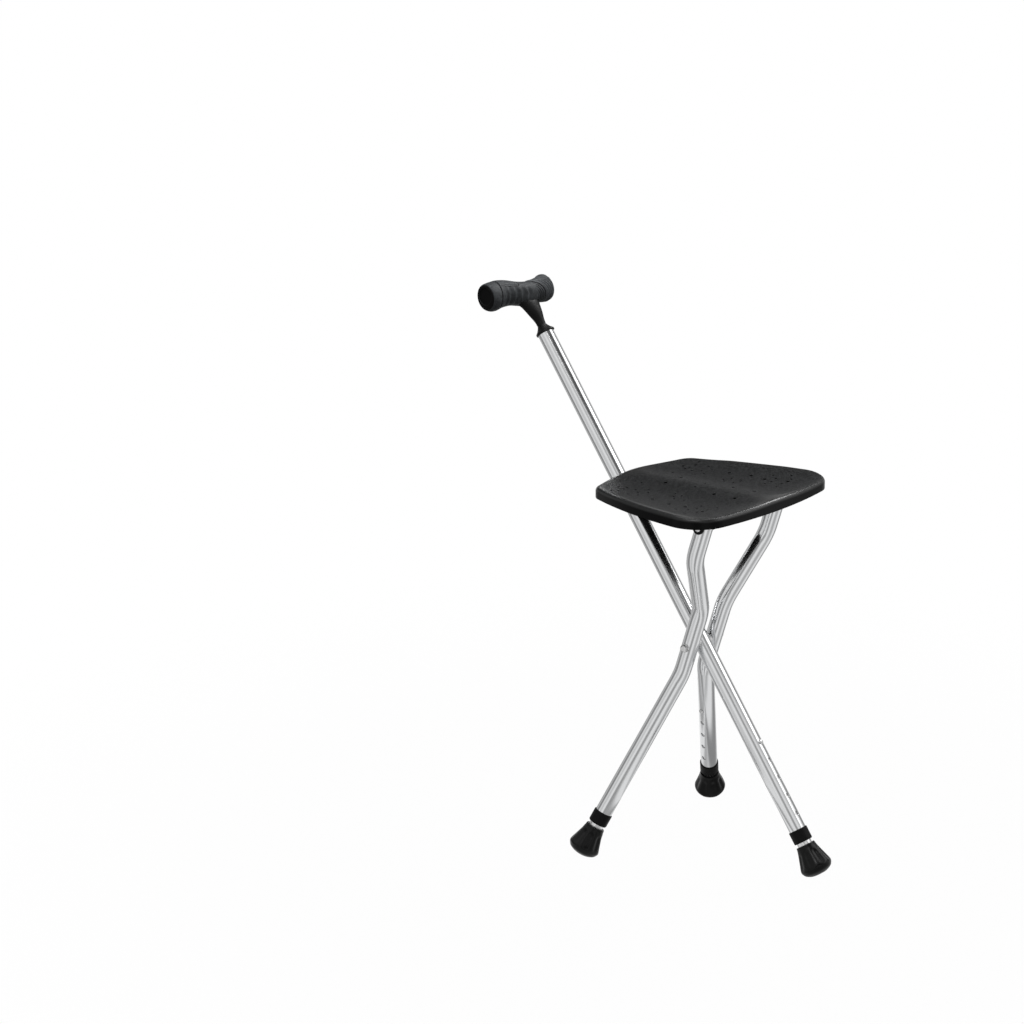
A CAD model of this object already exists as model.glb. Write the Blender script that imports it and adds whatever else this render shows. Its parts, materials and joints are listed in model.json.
import json
import math

import bmesh
import bpy
from mathutils import Matrix, Vector


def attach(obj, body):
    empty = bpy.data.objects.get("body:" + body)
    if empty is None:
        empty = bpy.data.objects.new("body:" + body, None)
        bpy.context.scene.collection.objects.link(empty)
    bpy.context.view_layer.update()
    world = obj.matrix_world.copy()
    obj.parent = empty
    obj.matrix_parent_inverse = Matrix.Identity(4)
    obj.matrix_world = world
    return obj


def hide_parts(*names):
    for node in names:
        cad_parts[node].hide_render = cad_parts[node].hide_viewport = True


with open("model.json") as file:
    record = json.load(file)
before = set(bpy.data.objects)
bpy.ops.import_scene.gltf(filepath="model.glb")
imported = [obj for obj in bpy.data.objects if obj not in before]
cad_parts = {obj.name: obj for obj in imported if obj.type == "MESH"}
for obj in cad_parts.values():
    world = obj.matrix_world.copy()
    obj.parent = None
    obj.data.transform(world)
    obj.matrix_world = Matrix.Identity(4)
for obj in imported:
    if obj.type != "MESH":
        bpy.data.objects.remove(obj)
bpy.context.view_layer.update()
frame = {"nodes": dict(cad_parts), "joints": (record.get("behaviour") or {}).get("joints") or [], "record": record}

# Places on the stool, in metres. Z is up, -Y is the sitter's front, +X is the horn side.
JOINTS = {joint["name"]: joint for joint in frame["joints"]}
PIVOT = Vector(JOINTS["leg_fold"]["pos_m"])
HINGE = Vector(JOINTS["seat_fold"]["pos_m"])
MM = 0.001


class Signal:
    """A shader socket that can be used in sums like a number."""

    def __init__(self, finish, socket):
        self.finish = finish
        self.socket = socket

    def math(self, operation, *others):
        values = dict(enumerate((self,) + others))
        return self.finish.add("ShaderNodeMath", {"operation": operation}, values)

    def __add__(self, other):
        return self.math("ADD", other)

    def __mul__(self, other):
        return self.math("MULTIPLY", other)

    def __rsub__(self, other):
        return self.math("MULTIPLY", -1.0) + other

    def __truediv__(self, other):
        return self.math("DIVIDE", other)

    __radd__ = __add__
    __rmul__ = __mul__

    def larger(self, other):
        return self.math("MAXIMUM", other)

    def rise(self, low, high):
        """0 below low, 1 above high, and a soft step between them."""
        return self.finish.add(
            "ShaderNodeMapRange",
            {"interpolation_type": "SMOOTHSTEP"},
            {"Value": self, "From Min": low, "From Max": high},
        )

    def fall(self, low, high):
        return 1 - self.rise(low, high)


class Finish:
    """A material, or the world, made of shader nodes."""

    def __init__(self, owner):
        owner.use_nodes = True
        self.owner = owner
        self.tree = owner.node_tree
        self.tree.nodes.clear()

    def add(self, kind, settings=None, values=None, output=0):
        """A new node: its settings first, then numbers or links for its sockets."""
        node = self.tree.nodes.new(kind)
        for name, value in (settings or {}).items():
            setattr(node, name, value)
        for name, value in (values or {}).items():
            socket = node.inputs[name]
            if isinstance(value, Signal):
                self.tree.links.new(value.socket, socket)
            else:
                socket.default_value = value
        return Signal(self, node.outputs[output]) if len(node.outputs) else None

    def place(self):
        """The point on the piece, in metres."""
        return self.add("ShaderNodeTexCoord", output="Object")

    def parts(self, vector):
        """The three numbers of a vector."""
        split = self.add("ShaderNodeSeparateXYZ", values={"Vector": vector}).socket.node
        return [Signal(self, split.outputs[axis]) for axis in "XYZ"]

    def noise(self, vector, scale, detail=2.0, roughness=0.5):
        return self.add(
            "ShaderNodeTexNoise",
            values={"Vector": vector, "Scale": scale, "Detail": detail, "Roughness": roughness},
        )

    def cells(self, vector, scale):
        return self.add("ShaderNodeTexVoronoi", values={"Vector": vector, "Scale": scale})

    def dot(self, vector, direction):
        return self.add(
            "ShaderNodeVectorMath",
            {"operation": "DOT_PRODUCT"},
            {0: vector, 1: direction},
            output="Value",
        )

    def stretch(self, vector, scale):
        return self.add(
            "ShaderNodeVectorMath", {"operation": "MULTIPLY"}, {0: vector, 1: scale}
        )

    def length(self, vector):
        return self.add(
            "ShaderNodeVectorMath", {"operation": "LENGTH"}, {0: vector}, output="Value"
        )

    def ray(self, kind):
        """1 for rays of a kind, Camera or Glossy, and 0 for the others."""
        return self.add("ShaderNodeLightPath", output="Is " + kind + " Ray")

    def either(self, share, first, second):
        """The first shader where the share is 0, the second where it is 1."""
        return self.add("ShaderNodeMixShader", values={0: share, 1: first, 2: second})

    def glow(self, kind, strength):
        """White light from an emission or a background node."""
        return self.add(kind, values={"Color": grey(1.0), "Strength": strength})

    def colours(self, share, first, second):
        """The first colour where the share is 0, the second where it is 1."""
        return self.add(
            "ShaderNodeMix",
            {"data_type": "RGBA"},
            {0: share, 6: first, 7: second},
            output=2,
        )

    def bump(self, height, distance, strength=1.0):
        return self.add(
            "ShaderNodeBump",
            values={"Height": height, "Distance": distance, "Strength": strength},
        )

    def surface(self, shader):
        kind = "World" if isinstance(self.owner, bpy.types.World) else "Material"
        self.add("ShaderNodeOutput" + kind, values={"Surface": shader})
        return self.owner


def grey(level, blue=0.0):
    """A grey, or a slightly blue one, as a colour in linear light."""
    return (level, level * (1 + blue / 2), level * (1 + blue), 1)


def new_finish(name):
    return Finish(bpy.data.materials.new(name))


def finished(finish, **values):
    """The owner's material; a socket's name is written with _ for its spaces."""
    named = {key.replace("_", " "): value for key, value in values.items()}
    shader = finish.add("ShaderNodeBsdfPrincipled", values=named)
    return finish.surface(shader)


def tube_finish():
    """Bright anodised tube: a faint ripple, and a haze that varies along it."""
    f = new_finish("polished_tube")
    place = f.place()
    haze = f.noise(place, 22, 3.0)
    ripple = f.noise(place, 40, 1.0)
    return finished(
        f,
        Base_Color=f.colours(haze, grey(0.65, 0.02), grey(0.73, 0.02)),
        Metallic=1.0,
        Roughness=0.12 + haze * 0.08,
        Normal=f.bump(ripple, 0.05 * MM, 0.5),
    )


def inner_tube_finish():
    f = new_finish("inner_tube")
    place = f.place()
    haze = f.noise(place, 35, 3.0)
    return finished(
        f,
        Base_Color=f.colours(haze, grey(0.66), grey(0.76)),
        Metallic=1.0,
        Roughness=0.22 + haze * 0.12,
        Normal=f.bump(f.noise(place, 700), 0.02 * MM),
    )


def bright_metal_finish():
    f = new_finish("bright_metal")
    place = f.place()
    return finished(
        f,
        Base_Color=f.colours(f.noise(place, 90), grey(0.52), grey(0.62)),
        Metallic=1.0,
        Roughness=0.16 + f.noise(place, 250) * 0.10,
        Normal=f.bump(f.noise(place, 300), 0.03 * MM),
    )


def plain_steel_finish():
    f = new_finish("plain_steel")
    place = f.place()
    grain = f.noise(place, 500, 3.0)
    return finished(
        f,
        Base_Color=f.colours(grain, grey(0.42), grey(0.56)),
        Metallic=1.0,
        Roughness=0.30 + grain * 0.15,
        Normal=f.bump(grain, 0.02 * MM),
    )


def black_steel_finish():
    f = new_finish("black_steel")
    place = f.place()
    coat = f.noise(place, 160, 3.0)
    return finished(
        f,
        Base_Color=f.colours(coat, grey(0.016), grey(0.030)),
        Roughness=0.28 + coat * 0.15,
        Normal=f.bump(f.noise(place, 600), 0.04 * MM),
    )


def seat_finish():
    """Moulded black plastic: a fine grain on top, a smooth rim with a sheen."""
    f = new_finish("seat_plastic")
    place = f.place()
    height = f.parts(place)[2]
    facing = f.parts(f.add("ShaderNodeTexCoord", output="Normal"))[2]
    mottle = f.noise(place, 260, 3.0, 0.7).rise(0.36, 0.64)
    grain = f.cells(place, 900) + mottle * 1.2
    worn = f.noise(place, 55, 4.0, 0.6)
    grained_below, smooth_above = HINGE.z + 25.4 * MM, HINGE.z + 27.6 * MM
    top = height.fall(grained_below, smooth_above) * facing.rise(0.55, 0.9)
    rim = (1 - top) * facing.rise(0.05, 0.35)
    return finished(
        f,
        Base_Color=f.colours(top * mottle, grey(0.003, 0.06), grey(0.014, 0.08)),
        Roughness=0.28 + top * (0.07 + worn * 0.08),
        Specular_IOR_Level=0.07,
        Coat_Weight=rim * 0.5,
        Coat_Roughness=0.38,
        Normal=f.bump(grain * (0.15 + top * 0.85), 0.16 * MM, 0.8),
    )


def black_plastic_finish():
    f = new_finish("black_plastic")
    place = f.place()
    grain = f.noise(place, 800, 2.0)
    return finished(
        f,
        Base_Color=f.colours(f.noise(place, 40), grey(0.004), grey(0.008)),
        Roughness=0.36 + grain * 0.12,
        Specular_IOR_Level=0.08,
        Normal=f.bump(grain, 0.04 * MM),
    )


def grip_plastic_finish():
    f = new_finish("grip_plastic")
    place = f.place()
    grain = f.noise(place, 900, 2.0)
    return finished(
        f,
        Base_Color=f.colours(f.noise(place, 60), grey(0.062, 0.12), grey(0.082, 0.14)),
        Roughness=0.36 + grain * 0.12,
        Specular_IOR_Level=0.14,
        Normal=f.bump(grain, 0.05 * MM),
    )


def grip_rubber_finish():
    """Charcoal rubber with a soft bloom, as on a moulded palm grip."""
    f = new_finish("grip_rubber")
    place = f.place()
    bloom = f.noise(place, 160, 4.0, 0.7).rise(0.32, 0.68)
    pores = f.cells(place, 1200)
    return finished(
        f,
        Base_Color=f.colours(bloom, grey(0.025, 0.12), grey(0.046, 0.14)),
        Roughness=0.48 + bloom * 0.12,
        Specular_IOR_Level=0.08,
        Normal=f.bump(pores, 0.07 * MM),
    )


def moulded_line_finish():
    f = new_finish("moulded_line")
    soot = f.noise(f.place(), 300, 2.0)
    return finished(
        f,
        Base_Color=f.colours(soot, grey(0.002), grey(0.004)),
        Roughness=0.5 + soot * 0.1,
        Specular_IOR_Level=0.06,
    )


def foot_rubber_finish():
    f = new_finish("foot_rubber")
    place = f.place()
    scuff = f.noise(place, 120, 4.0, 0.65)
    low = f.parts(place)[2].fall(1.0 * MM, 12.0 * MM)
    return finished(
        f,
        Base_Color=f.colours(scuff * low, grey(0.003), grey(0.010)),
        Roughness=0.20 + scuff * 0.10 + low * 0.10,
        Specular_IOR_Level=0.16,
        Normal=f.bump(f.noise(place, 600, 3.0), 0.03 * MM),
    )


FINISHES = {
    "polished_tube": tube_finish(),
    "inner_tube": inner_tube_finish(),
    "bright_metal": bright_metal_finish(),
    "plain_steel": plain_steel_finish(),
    "black_steel": black_steel_finish(),
    "seat_plastic": seat_finish(),
    "black_plastic": black_plastic_finish(),
    "grip_plastic": grip_plastic_finish(),
    "grip_rubber": grip_rubber_finish(),
    "moulded_line": moulded_line_finish(),
    "foot_rubber": foot_rubber_finish(),
}

for entry in frame["record"]["subparts"]:
    mesh = frame["nodes"][entry["node"]].data
    mesh.materials.clear()
    mesh.materials.append(FINISHES[entry["material_slot"]])
# The cap in the pommel's end is as dark as the moulded lines
frame["nodes"]["grip_end_cap"].data.materials[0] = FINISHES["moulded_line"]


# The handle's moulding: a palm grip with a pommel on the left and a ribbed horn on the right.
# Its lengths are in millimetres, from near the top of the long tube.

MAIN_LEAN = math.radians(35)
GRIP_TILT = math.radians(5)
PIVOT_TO_HANDLE, HANDLE_TO_GRIP = 449, 60.8
HANDLE = (
    Matrix.Translation(PIVOT)
    @ Matrix.Rotation(-MAIN_LEAN, 4, "X")
    @ Matrix.Translation((0, 0, PIVOT_TO_HANDLE * MM))
)
GRIP = (
    HANDLE
    @ Matrix.Translation((0, 0, HANDLE_TO_GRIP * MM))
    @ Matrix.Rotation(GRIP_TILT, 4, "Y")
)

# Along the grip: place across, centre height, half height, half depth, and the degrees
# that the section leans back at its top
GRIP_STATIONS = [
    (-74.8, -1.6, 15.4, 13.6, 0),
    (-73.2, -1.7, 17.4, 15.2, 0),
    (-68.3, -1.8, 18.9, 16.4, 0),
    (-61.8, -1.0, 19.3, 16.8, 0),
    (-50.8, 1.2, 18.5, 16.2, 0),
    (-34.8, 1.8, 17.1, 15.0, 0),
    (-18.0, 0.0, 15.5, 15.0, 0),
    (-2.0, -0.5, 14.7, 14.4, 0),
    (11.0, 0.1, 14.8, 14.5, 0),
    (21.0, 1.05, 15.5, 15.1, 1.5),
    (30.0, 2.2, 16.6, 16.0, 3.5),
    (36.0, 3.5, 17.8, 16.8, 5),
    (39.5, 3.5, 17.1, 16.0, 5),
    (41.0, 3.5, 15.0, 13.8, 5),
]
GRIP_LEFT, GRIP_RIGHT = GRIP_STATIONS[0][0], GRIP_STATIONS[-1][0]

# Up the stem: height, place across of its middle, half width, half depth
STEM_LEVELS = [
    (11.6, 0.0, 6.0, 5.8),
    (18.5, 0.3, 6.9, 6.2),
    (28.4, 0.0, 10.3, 7.6),
    (42.3, -1.6, 15.8, 8.0),
    (48.3, -2.5, 21.0, 7.4),
    (58.0, -3.0, 23.0, 6.0),
]

# The ring groove round the pommel: its place, and how far it leans with height
RING_PLACE, RING_LEAN = -58.5, 0.10

# The bare panel on the front: its middle along the grip and its degrees round it, its half
# sizes and corners, the length of a degree round the grip, and the side that it is on
PANEL_PLACE, PANEL_TURN = -39, 38
PANEL_HALF_WIDE, PANEL_HALF_TALL, PANEL_CORNER = 18.0, 6.5, 3.0
DEGREE_LENGTH = 0.27
PANEL_START, PANEL_SIDE = -57, (-40, 110)

# The curved line between the soft grip and the horn: part of a circle, right of its start
HORN_START = -9
PARTING_MIDDLE, PARTING_RADIUS = (-10, -22), 37

# Half width and depth of the three moulded lines
RING_GROOVE, PANEL_GROOVE, PARTING_GROOVE = (1.2, 1.2), (0.9, 0.6), (1.5, 1.6)

# Height and pitch of the finger swells, the horn's ribs and the grip's ribs beside it
FINGER_SWELL, FINGER_PLACE, FINGER_PITCH = 1.2, -45, 11.5
HORN_RIB, HORN_PITCH = 0.75, 3.4
GRIP_RIB, GRIP_PITCH = 0.4, 3.2

# The swell over the stem: its height, its middle and how far it spreads
STEM_SWELL, STEM_SWELL_PLACE, STEM_SWELL_SPREAD = 3.0, -2, 17

# The recess at the pommel's end, and the horn's low crown as shares of its rim and heights
RECESS_RADIUS, RECESS_MIDDLE, RECESS_DEPTH = 10.9, -0.2, 1.6
HORN_CROWN = ((0.94, 0.7), (0.88, 0.6), (0.5, 0.4))
SHARP_ANGLE = math.radians(40)


def smooth_step(value, low, high):
    share = max(0.0, min(1.0, (value - low) / (high - low)))
    return share * share * (3 - 2 * share)


def between(stations, place):
    """A smooth value of every column of the stations at a place in the first column."""
    last = len(stations) - 1
    i = 0
    while i < last - 1 and stations[i + 1][0] < place:
        i += 1
    before, start = stations[max(i - 1, 0)], stations[i]
    end, after = stations[i + 1], stations[min(i + 2, last)]
    gap = end[0] - start[0]
    t = (place - start[0]) / gap
    values = []
    for column in range(1, len(start)):
        a, b = start[column], end[column]
        rise_a = (b - before[column]) / (end[0] - before[0]) * gap
        rise_b = (after[column] - a) / (after[0] - start[0]) * gap
        values.append(
            (2 * t**3 - 3 * t**2 + 1) * a
            + (t**3 - 2 * t**2 + t) * rise_a
            + (3 * t**2 - 2 * t**3) * b
            + (t**3 - t**2) * rise_b
        )
    return values


def wrapped(shape, along, around, place_of):
    """A grid of the bmesh rolled into a tube; place_of(share along, angle) places a point."""
    made = bmesh.ops.create_grid(shape, x_segments=along, y_segments=around, size=0.5)
    for vert in made["verts"]:
        vert.co = place_of(vert.co.x + 0.5, (vert.co.y + 0.5) * math.tau)
    bmesh.ops.remove_doubles(shape, verts=made["verts"], dist=1e-4)


def open_edges(shape):
    return [edge for edge in shape.edges if edge.is_boundary]


def drawn_in(shape, edges, place_of):
    """Grow an open edge by one ring; place_of(point) gives each new point's place."""
    made = bmesh.ops.extrude_edge_only(shape, edges=edges)["geom"]
    for vert in [item for item in made if isinstance(item, bmesh.types.BMVert)]:
        vert.co = place_of(vert.co)
    return [item for item in made if isinstance(item, bmesh.types.BMEdge) and item.is_boundary]


def placed(shape, matrix):
    """Turn a bmesh drawn in millimetres into its place on the stool, in metres."""
    bmesh.ops.transform(shape, matrix=matrix @ Matrix.Scale(MM, 4), verts=shape.verts[:])


def made_into_piece(shape, name, finishes):
    """The object of a finished bmesh, smooth but for its sharp edges."""
    bmesh.ops.recalc_face_normals(shape, faces=shape.faces[:])
    for face in shape.faces:
        face.smooth = True
    mesh = bpy.data.meshes.new(name)
    shape.to_mesh(mesh)
    shape.free()
    mesh.set_sharp_from_angle(angle=SHARP_ANGLE)
    for finish in finishes:
        mesh.materials.append(FINISHES[finish])
    piece = bpy.data.objects.new(name, mesh)
    bpy.context.collection.objects.link(piece)
    return piece


def groove(distance, half_width, depth):
    """The cut of a moulded line, 0 away from it and -depth at its middle."""
    return -depth * (1 - smooth_step(abs(distance), half_width * 0.35, half_width))


def turned_to_front(angle):
    """Degrees round the grip: 0 at the front, 90 on top and -90 underneath."""
    return math.degrees(math.atan2(math.cos(angle), -math.sin(angle)))


def ring_distance(x, z):
    return x - RING_PLACE - z * RING_LEAN


def panel_distance(x, front):
    """Distance from the outline of the bare panel, front in degrees round the grip."""
    across = abs(x - PANEL_PLACE) - PANEL_HALF_WIDE + PANEL_CORNER
    up = abs(front - PANEL_TURN) * DEGREE_LENGTH - PANEL_HALF_TALL + PANEL_CORNER
    outside = math.hypot(max(across, 0), max(up, 0))
    return outside + min(max(across, up), 0) - PANEL_CORNER


def on_panel_side(x, front):
    return x > PANEL_START and PANEL_SIDE[0] < front < PANEL_SIDE[1]


def parting_distance(x, z):
    """Distance from the line between the soft grip and the horn, positive on the horn."""
    return math.hypot(x - PARTING_MIDDLE[0], z - PARTING_MIDDLE[1]) - PARTING_RADIUS


def wave(distance, pitch):
    return math.cos(distance / pitch * math.tau)


def finger_swells(x, front):
    """Soft ridges for the fingers, low on the front between the pommel and the stem."""
    low_front = smooth_step(-front, -12, 20) * smooth_step(front, -95, -55)
    reach = smooth_step(x, -54, -46) * (1 - smooth_step(x, -8, 2))
    return FINGER_SWELL * low_front * reach * (wave(x - FINGER_PLACE, FINGER_PITCH) - 0.6)


def stem_swell(x, front):
    """The grip's underside swells out where it meets the stem."""
    underneath = smooth_step(-front, 25, 80) * smooth_step(front, -160, -105)
    return STEM_SWELL * underneath * math.exp(-(((x - STEM_SWELL_PLACE) / STEM_SWELL_SPREAD) ** 2))


def horn_detail(x, parting):
    """The parting line, the ribs round the horn, and finer ones on the grip beside it."""
    on_horn = smooth_step(parting, 1.8, 3.0) * (1 - smooth_step(x, 37.0, 39.5))
    on_grip = smooth_step(-parting, 1.8, 3.4) * smooth_step(x, 6, 13)
    detail = groove(parting, *PARTING_GROOVE)
    detail += HORN_RIB * on_horn * wave(parting, HORN_PITCH)
    return detail + GRIP_RIB * on_grip * wave(parting, GRIP_PITCH)


def grip_detail(x, z, angle):
    """Height of the moulded detail over the plain section."""
    front = turned_to_front(angle)
    detail = groove(ring_distance(x, z), *RING_GROOVE)
    if on_panel_side(x, front):
        detail += groove(panel_distance(x, front), *PANEL_GROOVE)
    detail += finger_swells(x, front) + stem_swell(x, front)
    if x > HORN_START:
        detail += horn_detail(x, parting_distance(x, z))
    return detail


def is_dark_line(x, z, angle):
    """Whether a point lies at the bottom of a moulded line, or on the pommel's end."""
    if x < GRIP_LEFT + 0.6:
        return True
    if x > GRIP_RIGHT - 3:
        return False
    front = turned_to_front(angle)
    on_ring = abs(ring_distance(x, z)) < 0.8
    on_panel = on_panel_side(x, front) and abs(panel_distance(x, front)) < 0.5
    on_parting = x > HORN_START and abs(parting_distance(x, z)) < 1.0
    return on_ring or on_panel or on_parting


def grip_point(share, angle):
    x = GRIP_LEFT + (GRIP_RIGHT - GRIP_LEFT) * share
    up, tall, deep, lean = between(GRIP_STATIONS, x)
    lean = math.radians(lean)
    rise = tall * math.cos(angle)
    place = Vector((x - rise * math.sin(lean), deep * math.sin(angle), up + rise * math.cos(lean)))
    out = Vector((0, math.sin(angle) * tall, math.cos(angle) * deep)).normalized()
    return place + out * grip_detail(place.x, place.z, angle)


def close_pommel(shape, edges):
    """The pommel's end: a round lip, and a shallow recess for the end cap."""
    for x, radius in (
        (GRIP_LEFT - 0.5, RECESS_RADIUS + 1.6),
        (GRIP_LEFT - 0.3, RECESS_RADIUS + 0.5),
        (GRIP_LEFT + 0.2, RECESS_RADIUS),
        (GRIP_LEFT + RECESS_DEPTH, RECESS_RADIUS),
    ):

        def round_the_cap(point, x=x, radius=radius):
            turn = math.atan2(point.z - RECESS_MIDDLE, point.y)
            return Vector((x, math.cos(turn) * radius, RECESS_MIDDLE + math.sin(turn) * radius))

        edges = drawn_in(shape, edges, round_the_cap)
    bmesh.ops.holes_fill(shape, edges=edges, sides=0)


def close_horn(shape, edges):
    """The horn's end: a low crown, square to the leaning rim."""
    tilt = math.radians(GRIP_STATIONS[-1][4])
    face_out = Vector((math.cos(tilt), 0, math.sin(tilt)))
    middle = Vector((GRIP_RIGHT, 0, GRIP_STATIONS[-1][1]))
    for scale, out in HORN_CROWN:

        def crowned(point, scale=scale, out=out):
            return middle + (point - middle) * scale + face_out * out

        edges = drawn_in(shape, edges, crowned)
    bmesh.ops.holes_fill(shape, edges=edges, sides=0)


def stem_point(share, angle):
    low, high = STEM_LEVELS[0][0], STEM_LEVELS[-1][0]
    z = low + (high - low) * share
    middle, wide, deep = between(STEM_LEVELS, z)
    return Vector((middle + wide * math.cos(angle), deep * math.sin(angle), z))


def make_stem():
    shape = bmesh.new()
    wrapped(shape, 60, 72, stem_point)
    bmesh.ops.holes_fill(shape, edges=open_edges(shape), sides=0)
    placed(shape, HANDLE)
    mesh = bpy.data.meshes.new("stem")
    shape.to_mesh(mesh)
    shape.free()
    return mesh


def make_palm_grip():
    """The whole moulded handle, in place of its two plain solids."""
    finishes = ["grip_rubber", "grip_plastic", "moulded_line", "black_plastic"]
    soft, horn, line, stem = range(len(finishes))
    shape = bmesh.new()
    wrapped(shape, 330, 180, grip_point)
    close_pommel(shape, [edge for edge in open_edges(shape) if edge.verts[0].co.x < 0])
    close_horn(shape, open_edges(shape))
    for face in shape.faces:
        place = face.calc_center_median()
        on_horn = place.x > HORN_START and parting_distance(place.x, place.z) > 0
        face.material_index = horn if on_horn else soft
        if is_dark_line(place.x, place.z, math.atan2(place.y, place.z)):
            face.material_index = line
        face.tag = True
    placed(shape, GRIP)
    shape.from_mesh(make_stem())
    for face in shape.faces:
        if not face.tag:
            face.material_index = stem
    piece = made_into_piece(shape, "palm_grip", finishes)
    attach(piece, "shaft")
    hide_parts("handle_grip", "handle_horn")


make_palm_grip()


# The rubber feet: a bell with broad shallow flutes that end under a plain neck ring

# Up a foot: number of the point, radius and height over the sole, in millimetres
FOOT_PROFILE = [
    (0, 0.0, -4.0),
    (1, 9.2, -3.2),
    (2, 16.4, 0.0),
    (3, 19.4, 3.6),
    (4, 20.6, 8.0),
    (5, 17.9, 17.0),
    (6, 15.0, 26.0),
    (7, 13.0, 33.0),
    (8, 12.5, 36.1),
    (9, 11.9, 37.1),
]
FOOT_TOP = FOOT_PROFILE[-1][2]
FOOT_BORE, FOOT_FLOOR = 9.55, 5.0
FOOT_FLUTES, FLUTE_DEPTH = 8, 1.5


def foot_point(share, angle):
    radius, height = between(FOOT_PROFILE, share * FOOT_PROFILE[-1][0])
    fluted = smooth_step(height, 5, 13) * (1 - smooth_step(height, 24, 31))
    radius -= FLUTE_DEPTH * fluted * (0.5 - 0.5 * math.cos(FOOT_FLUTES * angle)) ** 1.5
    return Vector((radius * math.cos(angle), radius * math.sin(angle), height))


def foot_place(side):
    """Where a foot's sole is, turned up its tube, from the plate inside it."""
    up = -Vector(JOINTS[side + "_extension_slide"]["axis"]).normalized()
    plate = [vert.co for vert in frame["nodes"][side + "_foot_plate"].data.vertices]
    middle = Vector([(min(places) + max(places)) / 2 for places in zip(*plate)])
    plate_low = min(up.dot(place) for place in plate)
    sole = middle + up * (plate_low - FOOT_FLOOR * MM - up.dot(middle))
    out = Vector((up.x, up.y, 0)).normalized()
    across = up.cross(out).normalized()
    turn = Matrix((across.cross(up), across, up)).transposed().to_4x4()
    return Matrix.Translation(sole) @ turn


def make_foot(side):
    """A foot as it is moulded, flat where it stands on the floor."""
    shape = bmesh.new()
    wrapped(shape, 72, 96, foot_point)
    for height in (FOOT_TOP, FOOT_FLOOR):

        def on_bore(point, height=height):
            ring = math.atan2(point.y, point.x)
            return Vector((math.cos(ring) * FOOT_BORE, math.sin(ring) * FOOT_BORE, height))

        edges = drawn_in(shape, open_edges(shape), on_bore)
    bmesh.ops.holes_fill(shape, edges=edges, sides=0)
    placed(shape, foot_place(side))
    for vert in shape.verts:
        vert.co.z = max(vert.co.z, 0.0)
    foot = made_into_piece(shape, side + "_rubber_foot", ["foot_rubber"])
    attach(foot, side + "_extension")
    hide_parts(side + "_foot")


for side in ("main", "left", "right"):
    make_foot(side)


# Studio: a white floor, soft lamps and the photograph's camera. An azimuth is in degrees
# from the sitter's front towards the horn's side, and an elevation in degrees.

FLOOR_RADIUS = 1.4

# Upright dark strips round the studio, which only bright reflections show: azimuth, half
# width and the softness of the sides, in degrees, and how dark it is
DARK_STRIPS = (
    (-152, 9, 17, 0.68),
    (76, 4, 19, 0.68),
    (4, 4, 22, 0.44),
    (-56, 2, 16, 0.60),
    (-106, 3, 16, 0.26),
    (112, 3, 19, 0.44),
    (168, 5, 15, 0.54),
)
# Dark flags overhead: azimuth, elevation, how far it reaches and how soft it is, in
# degrees, how dark it is, and its height as a share of its width
DARK_FLAGS = (
    (-12, 50, 21, 15, 0.92, 0.48),
    (134, 35, 24, 20, 0.92, 0.8),
)
SKY_LIGHT = 0.18

# Lamps: azimuth, elevation, distance, width and height in metres, and watts
LAMPS = {
    "key": (-66, 62, 2.4, 1.0, 1.0, 26),
    "top": (130, 72, 2.2, 1.2, 1.2, 18),
    "side": (86, 50, 2.4, 1.0, 1.0, 46),
    "right_box": (42, 36, 2.4, 2.3, 1.1, 14),
}
LAMP_AIM = Vector((0, 0, 0.36))

# The camera, fitted to the photograph: its place from the pivot bolt, its turn and its lens
CAMERA_FROM_PIVOT = Vector((-2.4259, -1.8097, 1.0316))
CAMERA_AZIMUTH, CAMERA_ELEVATION, CAMERA_ROLL = -48.72, 15.86, -0.73
FOCAL_PIXELS, FRAME_PIXELS = 2493.7, 1024


def towards(azimuth, elevation=0.0):
    """The direction from the stool to a place round it."""
    turn, lift = math.radians(azimuth), math.radians(elevation)
    return Vector(
        (math.sin(turn) * math.cos(lift), -math.cos(turn) * math.cos(lift), math.sin(lift))
    )


def level_right(azimuth):
    """Level and to the right, for who looks at the stool from an azimuth."""
    return Vector((math.cos(math.radians(azimuth)), math.sin(math.radians(azimuth)), 0))


def strips_level(f, way):
    """How bright the dark strips leave a direction, or a place on the floor."""
    flat_way = f.add(
        "ShaderNodeVectorMath", {"operation": "NORMALIZE"}, {0: f.stretch(way, (1, 1, 0))}
    )
    level = 1.0
    for azimuth, reach, soft, depth in DARK_STRIPS:
        facing = f.dot(flat_way, towards(azimuth))
        ends = (math.cos(math.radians(angle)) for angle in (reach + soft, reach))
        level = (1 - facing.rise(*ends) * depth) * level
    return level


def flag_patch(f, way, azimuth, elevation, reach, soft, tall):
    """1 inside a flag's ellipse of sky, and 0 outside it."""
    ahead, side = towards(azimuth, elevation), level_right(azimuth)
    across, climb, forward = (f.dot(way, axis) for axis in (side, side.cross(-ahead), ahead))
    spread = f.length(f.add("ShaderNodeCombineXYZ", values={"X": across, "Y": climb / tall}))
    low, high = (math.sin(math.radians(angle)) for angle in (reach, reach + soft))
    return spread.fall(low, high) * forward.rise(0.0, 0.1)


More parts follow.
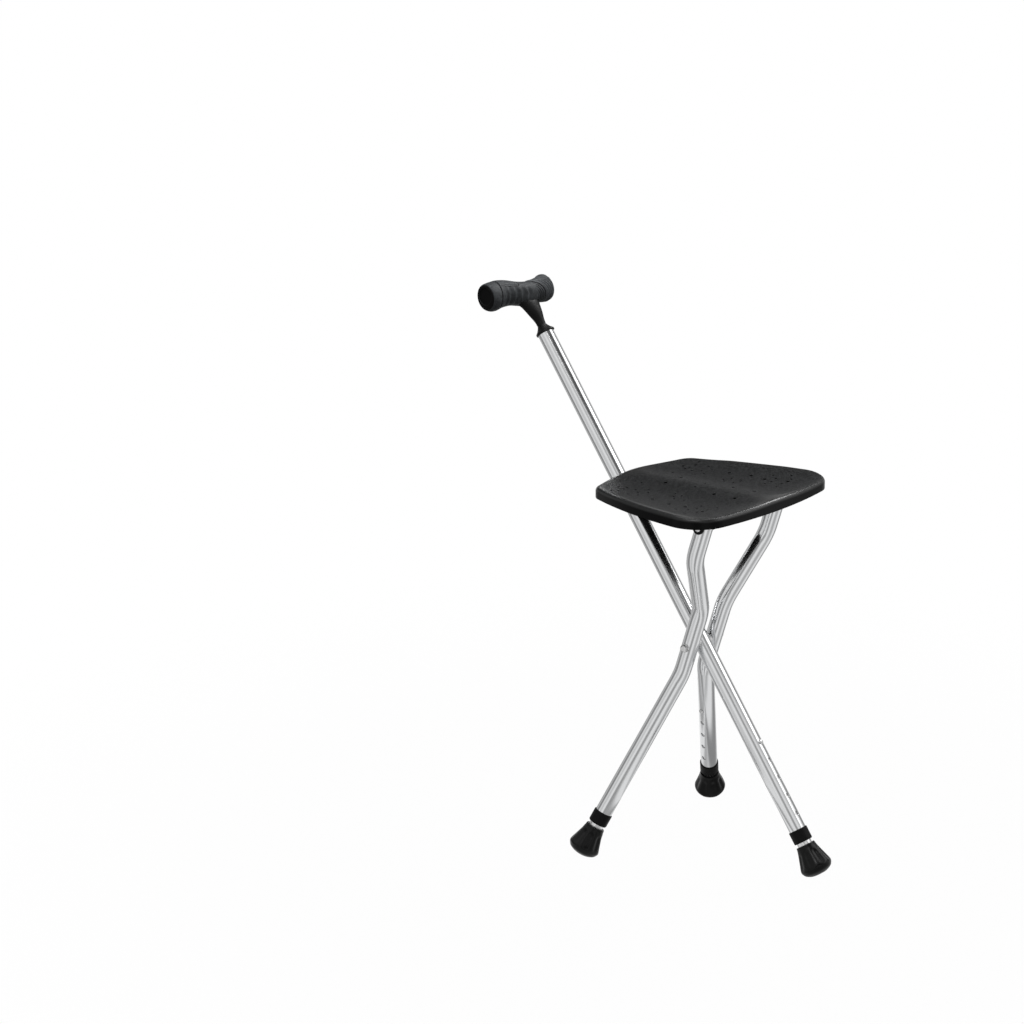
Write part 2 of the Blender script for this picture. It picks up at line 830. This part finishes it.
def floor_finish():
    """White in reflections, with a little plain paint that keeps the shadow.

    Otherwise it is clear to the camera, which sees the white world through it, and from
    below it is wholly clear, so that a foot let out below the floor shows.
    """
    f = new_finish("white_floor")
    place = f.place()
    camera, mirrored = f.ray("Camera"), f.ray("Glossy")
    white_share = 0.985 + f.length(place).rise(0.35, FLOOR_RADIUS * 0.9) * 0.015
    paint = f.add("ShaderNodeBsdfDiffuse", values={"Color": grey(0.22)})
    white = f.glow("ShaderNodeEmission", 1 - mirrored * (1 - strips_level(f, place)))
    clear = f.add("ShaderNodeBsdfTransparent")
    shown = f.either(camera, white, clear)
    from_above = f.either(camera.larger(mirrored) * white_share, paint, shown)
    from_below = f.add("ShaderNodeNewGeometry", output="Backfacing")
    return f.surface(f.either(from_below, from_above, clear))


def make_floor():
    shape = bmesh.new()
    bmesh.ops.create_circle(shape, cap_ends=True, segments=96, radius=FLOOR_RADIUS)
    mesh = bpy.data.meshes.new("floor")
    shape.to_mesh(mesh)
    shape.free()
    mesh.materials.append(floor_finish())
    floor = bpy.data.objects.new("floor", mesh)
    bpy.context.collection.objects.link(floor)


def make_world():
    """White behind the stool, and for the bright tubes a sky with dark strips and flags."""
    world = bpy.data.worlds.new("studio")
    bpy.context.scene.world = world
    f = Finish(world)
    way = f.add("ShaderNodeTexCoord", output="Generated")
    low_down = f.parts(way)[2].fall(0.45, 0.62)
    level = 1 - low_down * (1 - strips_level(f, way))
    for azimuth, elevation, reach, soft, depth, tall in DARK_FLAGS:
        level = (1 - flag_patch(f, way, azimuth, elevation, reach, soft, tall) * depth) * level
    camera, mirrored = f.ray("Camera"), f.ray("Glossy")
    strength = camera + (1 - camera) * (mirrored * level + (1 - mirrored) * SKY_LIGHT)
    f.surface(f.glow("ShaderNodeBackground", strength))


def make_lamp(name, azimuth, elevation, distance, width, tall, power):
    """A soft box that points at the stool's middle."""
    back = towards(azimuth, elevation)
    data = bpy.data.lights.new(name, "AREA")
    data.shape = "RECTANGLE"
    data.size, data.size_y = width, tall
    data.energy = power
    lamp = bpy.data.objects.new(name, data)
    lamp.location = LAMP_AIM + back * distance
    lamp.rotation_euler = back.to_track_quat("Z", "Y").to_euler()
    bpy.context.collection.objects.link(lamp)


def make_camera():
    back, level = towards(CAMERA_AZIMUTH, CAMERA_ELEVATION), level_right(CAMERA_AZIMUTH)
    roll = math.radians(CAMERA_ROLL)
    right = level * math.cos(roll) + back.cross(level) * math.sin(roll)
    turn = Matrix((right, back.cross(right), back)).transposed().to_4x4()
    data = bpy.data.cameras.new("camera")
    data.sensor_fit = "HORIZONTAL"
    data.sensor_width = 36
    data.lens = data.sensor_width * FOCAL_PIXELS / FRAME_PIXELS
    camera = bpy.data.objects.new("camera", data)
    camera.matrix_world = Matrix.Translation(PIVOT + CAMERA_FROM_PIVOT) @ turn
    bpy.context.collection.objects.link(camera)
    bpy.context.scene.camera = camera


make_floor()
make_world()
for name, values in LAMPS.items():
    make_lamp(name, *values)
make_camera()
bpy.context.scene.view_settings.view_transform = "Standard"
